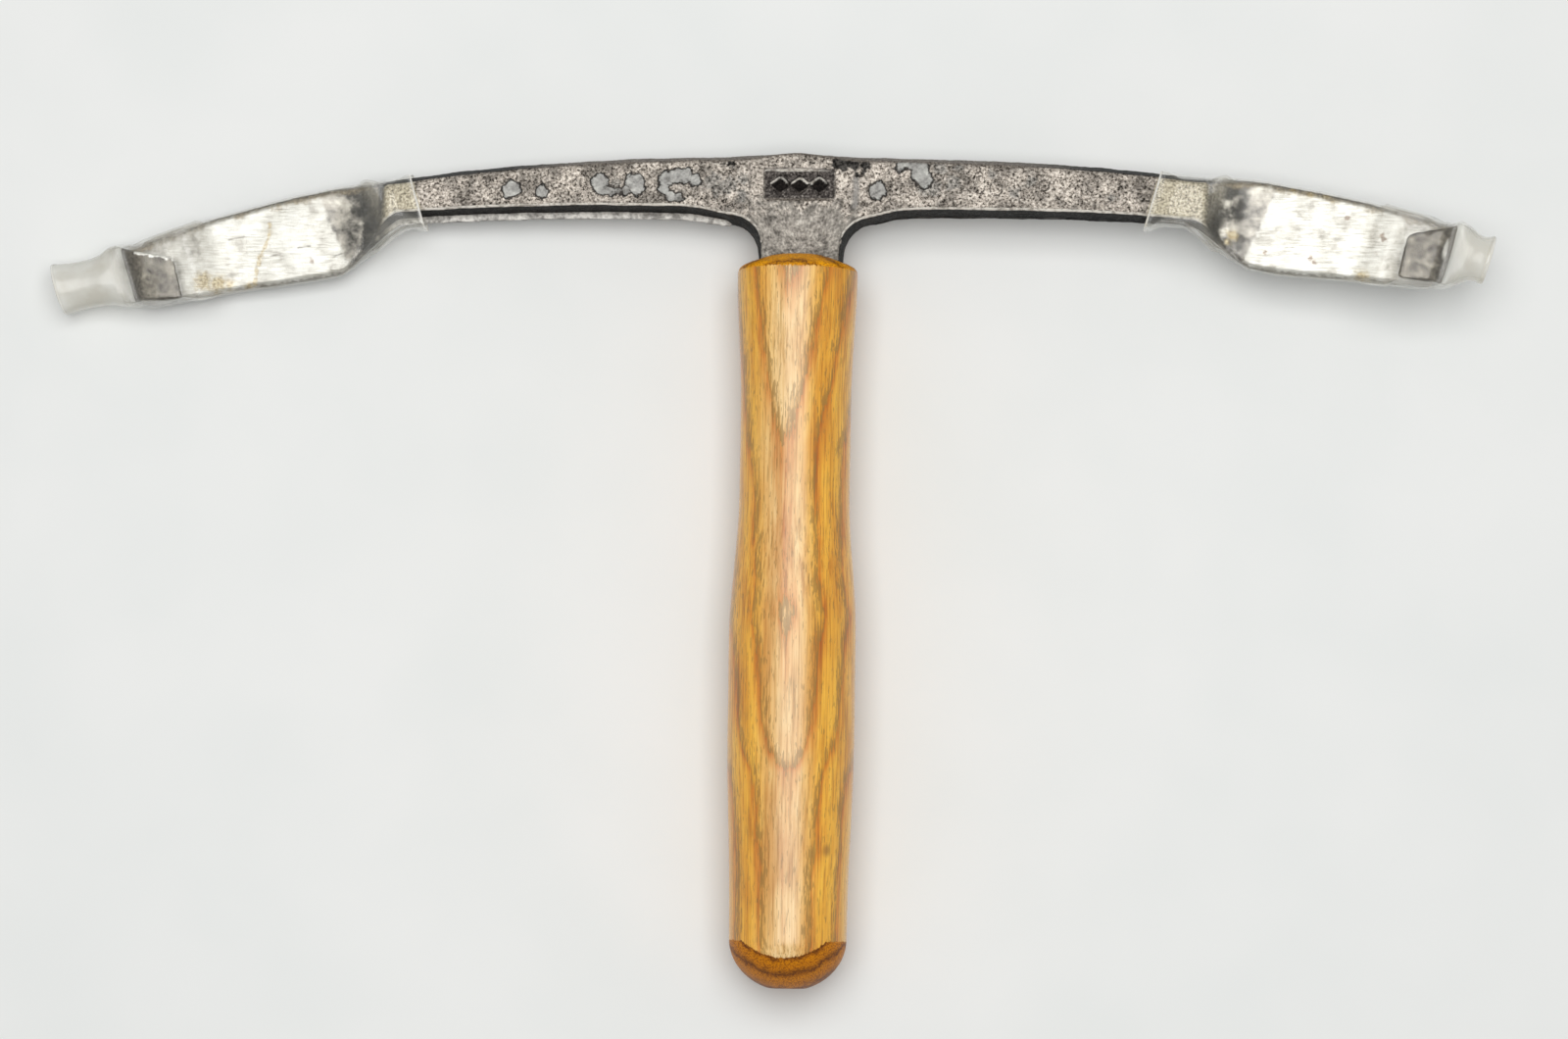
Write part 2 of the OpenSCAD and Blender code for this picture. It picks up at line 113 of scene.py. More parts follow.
def applyModifier(piece, kind, **settings):
    modifier = piece.modifiers.new(kind.title(), kind)
    for name, value in settings.items():
        setattr(modifier, name, value)
    bpy.ops.object.modifier_apply(modifier=modifier.name)


def makeGrain(name, size, depth=2):
    texture = bpy.data.textures.new(name, "CLOUDS")
    texture.noise_scale = size / 1000
    texture.noise_depth = depth
    return texture


def makeGroup(piece, name, weights):
    group = piece.vertex_groups.new(name=name)
    levels = np.round(np.clip(weights, 0, 1) * 20).astype(int)
    for level in range(1, 21):
        group.add(np.flatnonzero(levels == level).tolist(), level / 20, "REPLACE")
    return group.name


def makeAttribute(piece, name, values):
    layer = piece.data.attributes.new(name, "FLOAT", "POINT")
    layer.data.foreach_set("value", np.asarray(values, np.float32))


def ease(low, high, value):
    t = np.clip((value - low) / (high - low), 0, 1)
    return t * t * (3 - 2 * t)


def nearSpots(points, spots, far=8.0):
    # Signed distance in mm to the outline of overlapping round spots, below 0 inside
    gap = np.full(len(points), far)
    for x, y, radius in spots:
        gap = np.minimum(gap, np.hypot(points[:, 0] - x, points[:, 1] - y) - radius)
    return gap


def nearLoops(points, loops, far=8.0):
    gap = np.full(len(points), far)
    for x, y, wide, high in loops:
        reach = np.hypot((points[:, 0] - x) / wide, (points[:, 1] - y) / high)
        gap = np.minimum(gap, np.abs(reach - 1) * (wide + high) / 2)
    return gap


def nearLine(points, line, far=8.0):
    gap = np.full(len(points), far)
    for start, end in zip(line[:-1], line[1:]):
        a, b = np.array(start), np.array(end)
        t = np.clip((points[:, :2] - a) @ (b - a) / ((b - a) @ (b - a)), 0, 1)
        gap = np.minimum(gap, np.linalg.norm(points[:, :2] - a - t[:, None] * (b - a), axis=1))
    return gap


# Material helpers

def fromHex(code):
    channels = [int(code[i:i + 2], 16) / 255 for i in (1, 3, 5)]
    return [c / 12.92 if c <= 0.04045 else ((c + 0.055) / 1.055) ** 2.4 for c in channels] + [1]


def addNode(tree, kind, settings=None, inputs=None, output=0):
    # Adds one node, sets it up, links what is a socket and fills in what is a value
    node = tree.nodes.new("ShaderNode" + kind)
    for name, value in (settings or {}).items():
        if name == "stops":
            ramp = node.color_ramp.elements
            while len(ramp) < len(value):
                ramp.new(0.5)
            for element, (position, colour) in zip(ramp, value):
                element.position = position
                element.color = fromHex(colour)
        else:
            setattr(node, name, value)
    for name, value in (inputs or {}).items():
        if isinstance(value, bpy.types.NodeSocket):
            tree.links.new(value, node.inputs[name])
        else:
            node.inputs[name].default_value = fromHex(value) if isinstance(value, str) else value
    return node if output is None else node.outputs[output]


def startMaterial(name):
    material = bpy.data.materials.new(name)
    material.use_nodes = True
    tree = material.node_tree
    tree.nodes.clear()
    place = addNode(tree, "TexCoord", output="Object")
    toolMm = addNode(tree, "Mapping", None, {
        "Vector": place, "Location": tuple(toolShift), "Rotation": (0, layAngle, 0), "Scale": (1000, 1000, 1000)})
    return material, tree, toolMm


# The stage: camera above the bench, one large softbox, an even room and studio paper
print("stage: camera, lights and floor")
stage = {
    "cameraTarget": (0.0059, 0.0145, 0.0195), "cameraDistance": 1.384, "cameraPitch": 4.8, "cameraRoll": 0.88,
    "lens": 103.8, "backdrop": "#EBECEA", "worldLevel": 0.29, "lampPower": 18.9, "lampSize": 1.15,
    "lampHeight": 1.5, "lampTilt": 6, "floorSize": 12, "floorHeight": -0.0002,
}
scene = bpy.context.scene
scene.view_settings.view_transform = "Standard"

cameraData = bpy.data.cameras.new("camera")
cameraData.lens = stage["lens"]
cameraData.sensor_width = 36
cameraData.clip_start, cameraData.clip_end = 0.05, 50
camera = bpy.data.objects.new("camera", cameraData)
scene.collection.objects.link(camera)
turn = Matrix.Rotation(math.radians(stage["cameraPitch"]), 4, "X")
camera.matrix_world = (
    Matrix.Translation(Vector(stage["cameraTarget"]) + turn.to_3x3() @ Vector((0, 0, stage["cameraDistance"])))
    @ turn @ Matrix.Rotation(math.radians(stage["cameraRoll"]), 4, "Z"))
scene.camera = camera

lampData = bpy.data.lights.new("softbox", "AREA")
lampData.size = stage["lampSize"]
lampData.energy = stage["lampPower"]
lamp = bpy.data.objects.new("softbox", lampData)
lampTurn = Matrix.Rotation(math.radians(-stage["lampTilt"]), 4, "X")
lamp.matrix_world = lampTurn @ Matrix.Translation((0, 0, stage["lampHeight"]))
scene.collection.objects.link(lamp)

world = bpy.data.worlds.new("studio")
scene.world = world
world.use_nodes = True
sky = world.node_tree
sky.nodes.clear()
rays = addNode(sky, "LightPath").node.outputs
shown = addNode(sky, "Math", {"operation": "MAXIMUM"}, {0: rays["Is Camera Ray"], 1: rays["Is Glossy Ray"]})
shown = addNode(sky, "Math", {"operation": "MAXIMUM"}, {0: shown, 1: rays["Is Transmission Ray"]})
level = stage["worldLevel"]
even = addNode(sky, "Background", None, {"Color": (level, level, level, 1), "Strength": 1.0})
pale = addNode(sky, "Background", None, {"Color": stage["backdrop"], "Strength": 1.0})
room = addNode(sky, "MixShader", None, {0: shown, 1: even, 2: pale})
addNode(sky, "OutputWorld", None, {"Surface": room}, output=None)

bpy.ops.object.select_all(action="DESELECT")
bpy.ops.mesh.primitive_plane_add(size=stage["floorSize"], location=(0, 0, stage["floorHeight"]))
floor = bpy.context.object
floor.name = "floor"
floor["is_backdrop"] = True
# Studio paper: matt, with a faint mottle
paper, tree, toolMm = startMaterial("studioPaperMatt")
mottle = addNode(tree, "TexNoise", None, {"Vector": toolMm, "Scale": 0.02, "Detail": 2.0})
paperColour = addNode(tree, "ValToRGB", {"stops": [(0.3, "#E8EAE8"), (0.7, "#ECEDEB")]}, {"Fac": mottle})
paperShader = addNode(tree, "BsdfPrincipled", None, {
    "Base Color": paperColour, "Roughness": 0.9, "Specular IOR Level": 0.2})
addNode(tree, "OutputMaterial", None, {"Surface": paperShader}, output=None)
floor.data.materials.append(paper)


# The head: one forging with pitted arms, rubbed bright blades and black sides
print("head: forged steel")
headSettings = {
    # Sizes and depths in mm of the surface that the hammer and the fire left
    "voxel": 0.6, "hammerSize": 9.0, "hammerDepth": 0.5, "pitSize": 1.3, "pitDepth": 0.22,
    "hollowSize": 16.0, "hollowDepth": 0.7, "plateRise": 0.12, "dentDepth": 0.4,
    # Left and right: the arm's end, the fold's tip and its tilt, the step that is painted black as shade; skew leans
    # the root line of the blade
    "armEnd": (124.0, 121.0), "tip": (208.5, 200.5), "tilt": (0.3, 0.29), "step": (133.3, 127.0), "skew": 0.33,
    # The punched field with its three lozenges, painted dark as shade in the recess, and the painted highlight on the
    # right fold, as middles and half sizes
    "punch": {"middle": (0.4, 25.95), "half": (10.8, 4.7), "lozenge": (3.5, 2.8), "apart": 6},
    "shine": {"middle": (2.6, 7.7), "half": (1.0, 2.8)},
    # Smooth grey plates of old scale on the arms, x, y and radius in mm
    "plates": [
        (-88.4, 23.5, 2.9), (-78.9, 22.8, 2.1), (-61.2, 25.7, 2.8), (-60.5, 23.8, 1.9), (-50.5, 25.8, 3.0),
        (-49.4, 23.9, 2.0), (-55.3, 23.2, 1.4), (-58.0, 23.3, 1.6), (-52.7, 23.6, 1.7), (-40.6, 27.0, 2.5),
        (-37.5, 28.2, 2.2), (-34.7, 27.9, 2.4), (-31.8, 26.8, 2.0), (-41.2, 24.0, 1.8), (-39.1, 21.8, 1.9),
        (-36.6, 21.5, 1.5), (33.0, 31.0, 3.2), (36.6, 30.6, 3.4), (38.4, 27.5, 2.8), (24.2, 24.0, 2.8)],
    "plateHoles": [(32.7, 29.0, 2.0)],
    "mottles": [
        (-56.2, 25.3, 1.9), (-26.3, 26.6, 2.6), (-21.8, 25.1, 2.8), (-17.3, 27.1, 1.8), (-17.2, 22.1, 1.8),
        (-25.5, 23.2, 1.7), (41.4, 24.9, 2.4), (43.6, 31.7, 2.4), (47.4, 26.4, 2.4), (38.6, 25.0, 2.2),
        (71.4, 27.4, 1.8), (59.4, 29.5, 1.4), (66.2, 23.5, 1.9), (96.2, 22.6, 1.4), (-29.0, 24.6, 1.2),
        (49.0, 31.0, 1.2)],
    "loops": [(55.7, 26.1, 1.5, 2.7), (60.6, 25.0, 2.0, 2.1), (75.2, 26.0, 1.6, 1.6)],
    "blackScale": [
        (13.0, 32.6, 2.6), (16.4, 32.6, 2.3), (20.3, 31.8, 1.8), (18.4, 30.6, 2.0), (14.2, 30.8, 1.4),
        (-21.5, 31.5, 0.9), (-20.4, 31.8, 0.6)],
    "fleck": [(18.9, 30.1, 0.9), (18.6, 31.0, 0.5)],
    "dent": [(17.6, 27.6), (17.9, 24.5), (17.4, 19.2)],
    "seam": [(-14.9, 33.5), (-15.1, 27.0), (-15.0, 18.0)],
    "rust": [
        (-184.5, -4.8, 3.4), (-180.2, -5.6, 3.0), (-176.5, -6.0, 1.8), (-170.0, -6.3, 1.6), (-164.1, 11.4, 1.2),
        (172.9, -0.4, 2.4), (152.0, 26.9, 1.4), (157.0, 26.2, 2.0), (162.0, 25.2, 1.6), (133.2, 12.3, 2.0),
        (131.6, 10.0, 1.2)],
    "brownSpots": [
        (178.9, 12.7, 0.8), (179.6, 11.6, 0.6), (157.2, 5.7, 0.8), (158.2, 4.4, 0.6), (177.4, 6.6, 0.6),
        (168.4, 17.9, 0.6), (143.0, 7.1, 0.6), (-150.8, 2.0, 0.5)],
    "rustLine": [(-164.2, 12.9), (-164.6, 9.0), (-167.4, 2.0), (-168.5, -5.5)],
    "scratches": [
        [(-155.6, 5.8), (-151.4, 6.6)], [(-164.0, 3.2), (-160.4, 4.0)], [(-177.0, 8.2), (-172.0, 9.4)],
        [(-144.0, 3.4), (-141.6, 4.2)]],
}
head = copyNode("head", "forgedHead")
applyModifier(head, "REMESH", mode="VOXEL", voxel_size=headSettings["voxel"] / 1000, use_smooth_shade=True)
applyModifier(head, "SMOOTH", factor=0.5, iterations=2)

points, normals = toolPoints(head), toolNormals(head)
x, y, z = points.T
right = x > 0
armEnd, tip, tilt, step = [
    np.where(right, headSettings[name][1], headSettings[name][0]) for name in ("armEnd", "tip", "tilt", "step")]
reach = np.abs(x)

# Top and bottom edge of the head along x, read off the mesh in even steps
edgeFrom, edgeStep, edgeCount, unset = -230, 1.5, 321, 1e3
slot = np.clip(np.round((x - edgeFrom) / edgeStep).astype(int), 0, edgeCount - 1)
topEdge, lowEdge = np.full(edgeCount, -unset), np.full(edgeCount, unset)
np.maximum.at(topEdge, slot, y)
np.minimum.at(lowEdge, slot, y)
topGap, lowGap = topEdge[slot] - y, y - lowEdge[slot]
middle = (topEdge[slot] + lowEdge[slot]) / 2
along = reach - armEnd - headSettings["skew"] * (y - middle)
bladeShare = ease(2.0, 9.0, along)
faceUp = ease(0.5, 0.78, normals[:, 2])
plates = np.maximum(nearSpots(points, headSettings["plates"]), -nearSpots(points, headSettings["plateHoles"]))
dentNear = nearLine(points, headSettings["dent"])
punch, shine = headSettings["punch"], headSettings["shine"]
punchX, punchY = x - punch["middle"][0], y - punch["middle"][1]
panel = np.maximum(np.abs(punchX) - punch["half"][0], np.abs(punchY) - punch["half"][1])
inPanel = (panel < 0.3) & (z > 3)
lozengeWide, lozengeHigh = punch["lozenge"]
lozenges = [np.abs(punchX - punch["apart"] * i) / lozengeWide + np.abs(punchY) / lozengeHigh for i in (-1, 0, 1)]
lozenge = np.min(lozenges, axis=0) - 1
# Painted light: the lower ledge that faces up is painted lighter, as if lit
litLedgeShare = ease(0.3, 0.6, normals[:, 2]) * ease(-0.8, -1.8, z) * (1 - bladeShare) * (lowGap < 3.5) * (reach > 17)
# Painted highlight, with some real rubbing, along the lower front edge of the arms
lowerRim = ease(0.3, 0.55, normals[:, 2]) * (1 - ease(0.8, 0.97, normals[:, 2])) * (normals[:, 1] < -0.15)
lowerRim = lowerRim * (z > -1) * (1 - bladeShare)
# Painted shade on the top slope of the arms, chosen by the way the surface faces
crest = ease(0.35, 0.7, normals[:, 1]) * ease(100, 55, reach)

onTongue = (z > 0.3) & (along > 30)
tongueTop = np.full(edgeCount, -unset)
np.maximum.at(tongueTop, slot, np.where(onTongue, y, -unset))
tipGap = tip - reach + tilt * (y - middle)
shineGap = np.hypot((tipGap - shine["middle"][0]) / shine["half"][0], (y - shine["middle"][1]) / shine["half"][1]) - 1

# Every field is low where its paint lies, most of them in mm
farOff = 8.0
fields = {
    "blade": 1 - bladeShare, "along": along, "topGap": topGap, "lowGap": lowGap,
    "tongue": 1 - ease(-1.4, 0.6, z) * (along > 30), "tipNear": tip - reach + 6 * right,
    "tongueTop": np.where(onTongue & ~right & (tipGap > 5), tongueTop[slot] - y, farOff),
    "shine": np.where(onTongue & right, shineGap, farOff),
    "foldNear": np.where(onTongue & ~right, tipGap - 0.32 * (y + 9), farOff),
    "covered": armEnd - np.where(right, 12.5, 6.5) - reach + tilt * (y - middle),
    "step": np.abs(reach - step) - 1.4, "facet": along - 20 - 0.1 * (y - 10),
    "side": faceUp + 0.7 * bladeShare, "back": normals[:, 2] + 0.6 * bladeShare,
    "crest": 1 - crest, "ledge": 1 - litLedgeShare, "lowerRim": 1 - lowerRim,
    "plates": plates, "mottles": nearSpots(points, headSettings["mottles"]),
    "loops": nearLoops(points, headSettings["loops"]),
    "blackScale": np.maximum(
        nearSpots(points, headSettings["blackScale"]), -nearSpots(points, headSettings["fleck"])),
    "rust": nearSpots(points, headSettings["rust"]), "brownSpots": nearSpots(points, headSettings["brownSpots"]),
    "rustLine": nearLine(points, headSettings["rustLine"]),
    "scratches": np.min([nearLine(points, line) for line in headSettings["scratches"]], axis=0),
    "seam": np.minimum(nearLine(points, headSettings["seam"]), np.abs(panel)), "dent": dentNear,
    "neck": np.maximum(y - 19.5, reach - 17), "panel": np.where(z > 3, panel, farOff / 2),
    "lozenge": np.where(z > 3, lozenge * lozengeHigh, farOff / 2),
}
for name, values in fields.items():
    makeAttribute(head, name, values)

forged = makeGroup(head, "forgedWeights", (1 - bladeShare) * ease(4, 14, np.abs(z) + reach + np.maximum(0, y)))
plain = makeGroup(head, "plainWeights", (1 - bladeShare) * (plates > 0.3) * ~inPanel)
plateGroup = makeGroup(head, "platesWeights", ease(0.3, -0.4, plates) * faceUp * (1 - bladeShare))
bladeGroup = makeGroup(head, "bladesWeights", bladeShare)
dentGroup = makeGroup(head, "dentsWeights", ease(1.6, 0.0, dentNear) * faceUp)
applyModifier(head, "DISPLACE", texture=makeGrain("hammerMarks", headSettings["hammerSize"]),
    texture_coords="LOCAL", vertex_group=forged, strength=headSettings["hammerDepth"] / 1000, mid_level=0.9)
applyModifier(head, "DISPLACE", texture=makeGrain("pits", headSettings["pitSize"], 3),
    texture_coords="LOCAL", vertex_group=plain, strength=headSettings["pitDepth"] / 1000, mid_level=0.7)
applyModifier(head, "DISPLACE", texture=makeGrain("hollows", headSettings["hollowSize"], 1),
    texture_coords="LOCAL", vertex_group=bladeGroup, strength=headSettings["hollowDepth"] / 1000, mid_level=0.8)
applyModifier(head, "DISPLACE", vertex_group=plateGroup, strength=headSettings["plateRise"] / 1000, mid_level=0.0)
applyModifier(head, "DISPLACE", vertex_group=dentGroup, strength=-headSettings["dentDepth"] / 1000, mid_level=0.0)
placePoints(head, toolPoints(head))
bpy.ops.object.shade_smooth()
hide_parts("head")
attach(head, "tool")

# Hand-forged carbon steel: fire-pitted pale arms with old scale, blades rubbed bright, sides black with forge scale
# and painted shade
steel, tree, toolMm = startMaterial("forgedSteelPittedAndRubbed")
streakMm = addNode(tree, "Mapping", None, {"Vector": toolMm, "Rotation": (0, 0, 0.12), "Scale": (0.18, 2.8, 1.0)})
grains = {
    "pits": (toolMm, 1.25, 4.0, 0.7), "tone": (toolMm, 0.11, 3.0, 0.6), "wander": (toolMm, 0.55, 3.0, 0.6),
    "cloud": (toolMm, 0.16, 4.0, 0.6), "mid": (toolMm, 0.32, 5.0, 0.7), "streak": (streakMm, 1.0, 4.0, 0.7),
}
grain = {}
for name, (place, scale, detail, roughness) in grains.items():
    grain[name] = addNode(tree, "TexNoise", None, {
        "Vector": place, "Scale": scale, "Detail": detail, "Roughness": roughness})
wobble = addNode(tree, "MapRange", None, {
    "Value": grain["wander"], "From Min": 0.3, "From Max": 0.7, "To Min": -0.9, "To Max": 0.9})
drift = addNode(tree, "MapRange", None, {
    "Value": grain["cloud"], "From Min": 0.3, "From Max": 0.7, "To Min": -6.0, "To Max": 6.0})

# Paints: the grain that spreads them and their colours from low to high
paints = {
    "armFace": ("pits",
        [(0.35, "#1E1A18"), (0.41, "#5E5750"), (0.46, "#A0978D"), (0.54, "#BDB4A9"), (0.62, "#E0D7CC")]),
    "mottle": ("pits", [(0.36, "#33312E"), (0.5, "#6E6C68"), (0.64, "#97938D")]),
    "plate": ("mid", [(0.34, "#5F5E5B"), (0.46, "#8B8A87"), (0.58, "#9D9D99"), (0.68, "#B3B2AD")]),
    "rim": ("wander", [(0.4, "#151312"), (0.6, "#35312E")]),
    "faintRim": ("wander", [(0.44, "#9A928A"), (0.54, "#332F2D")]),
    "dent": ("wander", [(0.4, "#6C6A68"), (0.6, "#858380")]),
    "neck": ("mid", [(0.36, "#4E4B47"), (0.48, "#77736D"), (0.58, "#8D8982"), (0.68, "#A9A59D")]),
    "scale": ("pits", [(0.4, "#0E0D0C"), (0.62, "#4A4744")]),
    # panel and deep: painted shade in the punched field and its lozenges
    "panel": ("pits", [(0.35, "#191615"), (0.55, "#4B4643"), (0.68, "#8B857F")]),
    "deep": ("pits", [(0.4, "#0A0909"), (0.6, "#1E1A18")]),
    # side: black forge scale together with painted shade on the steep side walls
    "side": ("pits", [(0.38, "#030302"), (0.55, "#0A0908"), (0.68, "#1C1917")]),
    # crest: painted shade on the top slope of the arms
    "crest": ("pits", [(0.38, "#453F3B"), (0.52, "#827970"), (0.66, "#A39A90")]),
    "back": ("pits", [(0.34, "#2A2725"), (0.48, "#5B5651"), (0.62, "#8E8880")]),
    # ledge: painted light on the lower ledge that faces up
    "ledge": ("wander", [(0.36, "#85827E"), (0.5, "#B2AFAA"), (0.62, "#CFCCC6")]),
    # rubbedRimAndHighlight: painted highlight with some real rubbing on the lower front edge
    "rubbedRimAndHighlight": ("wander", [(0.38, "#ADA69D"), (0.52, "#E9E4DB")]),
    "bright": ("cloud", [(0.34, "#A09D97"), (0.43, "#BBB9B4"), (0.52, "#C7C6C2"), (0.66, "#CFCECB")]),
    "grey": ("cloud", [(0.34, "#56534F"), (0.45, "#85817B"), (0.55, "#A7A29A"), (0.66, "#C6C2B9")]),
    # stepShade: painted shade at the step and in the valley where the blade leaves the arm
    "stepShade": ("mid", [(0.35, "#0C0B0A"), (0.5, "#22211E"), (0.66, "#4A4741")]),
    "lightArm": ("pits", [(0.36, "#6E6656"), (0.5, "#AFA692"), (0.64, "#D2CAB6")]),
    "brownEdge": ("pits", [(0.36, "#4E4434"), (0.5, "#83765F"), (0.62, "#A39680")]),
    "darkEdge": ("pits", [(0.4, "#2E2A26"), (0.6, "#6C655B")]),
    "scratch": ("wander", [(0.4, "#3F3A35"), (0.6, "#5D574F")]),
    "rust": ("pits", [(0.36, "#6A5426"), (0.5, "#A08A56"), (0.64, "#CFC6AA")]),
    "spot": ("wander", [(0.4, "#5A3C22"), (0.6, "#7E5C38")]),
    # tongue: heat tint together with painted shade on the turned-back tongue
    "tongue": ("mid", [(0.34, "#37322E"), (0.46, "#57524B"), (0.58, "#716C63"), (0.68, "#8A857A")]),
    # shine: painted highlight
    "shine": ("mid", [(0.4, "#D8D6D0"), (0.6, "#F2F1EE")]),
}
paint = {}
for name, (source, stops) in paints.items():
    paint[name] = addNode(tree, "ValToRGB", {"stops": stops}, {"Fac": grain[source]})
brushed = addNode(tree, "ValToRGB", {"stops": [(0.3, "#B4B1AA"), (0.42, "#E6E4DF"), (0.6, "#FFFFFF")]}, {
    "Fac": grain["streak"]})
bladeFace = addNode(tree, "Mix", {"data_type": "RGBA", "blend_type": "MULTIPLY"}, {
    0: 0.7, 6: paint["bright"], 7: brushed}, output=2)
shade = addNode(tree, "Math", {"operation": "ADD"}, {0: grain["tone"], 1: grain["mid"]})
shade = addNode(tree, "MapRange", None, {
    "Value": shade, "From Min": 0.84, "From Max": 1.14, "To Min": 0.34, "To Max": 0.88})
shade = addNode(tree, "CombineColor", None, {0: shade, 1: shade, 2: shade})
armFace = addNode(tree, "Mix", {"data_type": "RGBA", "blend_type": "MULTIPLY"}, {
    0: 1.0, 6: paint["armFace"], 7: shade}, output=2)

# Coats of paint in order: paint, field, "area" or "line", full up to, gone from, strength, how its outline wanders
wanders = {
    "none": (wobble, 0.0), "small": (wobble, 0.7), "rough": (wobble, 1.0), "soft": (drift, 0.3), "wide": (drift, 1.0),
}
coats = {
    "blade": [
        # stepShade: painted shade at the step and in the valley by the arm's end
        ("grey", "facet", "area", -0.6, 0.8, 1.0, "small"), ("stepShade", "along", "area", 8.5, 16.0, 0.9, "wide"),
        ("stepShade", "step", "area", 0.0, 1.2, 0.95, "small"), ("lightArm", "along", "area", 2.6, 4.2, 1.0, "small"),
        ("grey", "tipNear", "area", 8.0, 26.0, 0.6, "wide"),
        ("brownEdge", "topGap", "area", 0.9, 3.2, 0.7, "soft"),
        ("darkEdge", "topGap", "area", 0.3, 1.1, 0.85, "small"),
        ("darkEdge", "lowGap", "area", 0.3, 1.0, 0.6, "small"),
        ("scratch", "scratches", "line", 0.1, 0.45, 0.65, "none"),
        ("rust", "rust", "area", -1.8, 0.9, 0.75, "rough"), ("rust", "rustLine", "line", 0.1, 0.8, 0.6, "small"),
        # The tongue: heat tint with painted shade
        ("spot", "brownSpots", "area", -0.6, 0.5, 0.7, "rough"), ("tongue", "tongue", "area", 0.0, 1.0, 1.0, "none"),
        ("darkEdge", "foldNear", "area", 4.0, 4.8, 0.75, "small"),
        # Painted highlights: along the left tongue's top edge and on the right fold
        ("shine", "tongueTop", "area", 0.8, 1.3, 0.8, "small"),
        ("shine", "shine", "area", -0.5, 0.4, 0.9, "none")],
    "arm": [
        ("neck", "neck", "area", -3.0, 2.5, 0.75, "wide"), ("lightArm", "covered", "area", -0.3, 0.2, 0.9, "none"),
        ("mottle", "mottles", "area", -0.8, 0.6, 0.75, "rough"),
        ("plate", "plates", "area", -0.15, 0.25, 0.9, "small"),
        ("rim", "plates", "line", 0.1, 0.6, 0.95, "small"), ("rim", "loops", "line", 0.05, 0.45, 0.85, "none"),
        ("faintRim", "seam", "line", 0.05, 0.45, 0.6, "none"), ("dent", "dent", "area", 0.3, 1.5, 0.7, "none"),
        # The punched field and its lozenges: painted shade in the recess
        ("scale", "blackScale", "area", -0.3, 0.5, 1.0, "rough"), ("panel", "panel", "area", -0.5, 0.1, 1.0, "none"),
        ("deep", "lozenge", "area", -0.4, 0.2, 1.0, "none")],
    "whole": [
        # The whole head: the side walls take forge scale with painted shade
        ("side", "side", "area", 0.1, 0.9, 1.0, "none"), ("crest", "crest", "area", 0.0, 1.0, 0.8, "none"),
        ("back", "back", "area", -0.8, -0.3, 1.0, "none"), ("rubbedRimAndHighlight", "lowerRim", "area", 0.1, 0.9, 0.9, "none"),
        ("ledge", "ledge", "area", 0.0, 1.0, 0.95, "none")],
}
colours = {"blade": bladeFace, "arm": armFace}
for part in ("blade", "arm", "whole"):
    if part == "whole":
        bladeFar = addNode(tree, "Attribute", {"attribute_name": "blade"}, output="Fac")
        colours[part] = addNode(tree, "Mix", {"data_type": "RGBA"}, {
            0: bladeFar, 6: colours["blade"], 7: colours["arm"]}, output=2)
    for name, field, kind, full, gone, strength, wander in coats[part]:
        near = addNode(tree, "Attribute", {"attribute_name": field}, output="Fac")
        near = addNode(tree, "Math", {"operation": "MULTIPLY_ADD"}, {
            0: wanders[wander][0], 1: wanders[wander][1], 2: near})
        if kind == "line":
            near = addNode(tree, "Math", {"operation": "ABSOLUTE"}, {0: near})
        cover = addNode(tree, "MapRange", {"interpolation_type": "SMOOTHSTEP"}, {
            "Value": near, "From Min": full, "From Max": gone, "To Min": strength, "To Max": 0.0})
        colours[part] = addNode(tree, "Mix", {"data_type": "RGBA"}, {
            0: cover, 6: colours[part], 7: paint[name]}, output=2)

armRough = addNode(tree, "MapRange", None, {
    "Value": grain["pits"], "From Min": 0.35, "From Max": 0.65, "To Min": 0.62, "To Max": 0.42})
bladeRough = addNode(tree, "MapRange", None, {
    "Value": grain["streak"], "From Min": 0.35, "From Max": 0.65, "To Min": 0.55, "To Max": 0.38})
rough = addNode(tree, "Mix", {"data_type": "FLOAT"}, {0: bladeFar, 2: bladeRough, 3: armRough})
pitDepth = addNode(tree, "MapRange", None, {"Value": bladeFar, "To Min": 0.12, "To Max": 0.75})
pitBump = addNode(tree, "Bump", None, {"Strength": pitDepth, "Distance": 0.0004, "Height": grain["pits"]})
bump = addNode(tree, "Bump", None, {
    "Strength": 0.2, "Distance": 0.0004, "Height": grain["wander"], "Normal": pitBump})
bare = addNode(tree, "Attribute", {"attribute_name": "side"}, output="Fac")
bare = addNode(tree, "MapRange", None, {
    "Value": bare, "From Min": 0.1, "From Max": 0.8, "To Min": 0.05, "To Max": 0.7})
steelShader = addNode(tree, "BsdfPrincipled", None, {
    "Base Color": colours["whole"], "Metallic": bare, "Roughness": rough, "Normal": bump, "Specular IOR Level": 0.08})
addNode(tree, "OutputMaterial", None, {"Surface": steelShader}, output=None)
head.data.materials.append(steel)


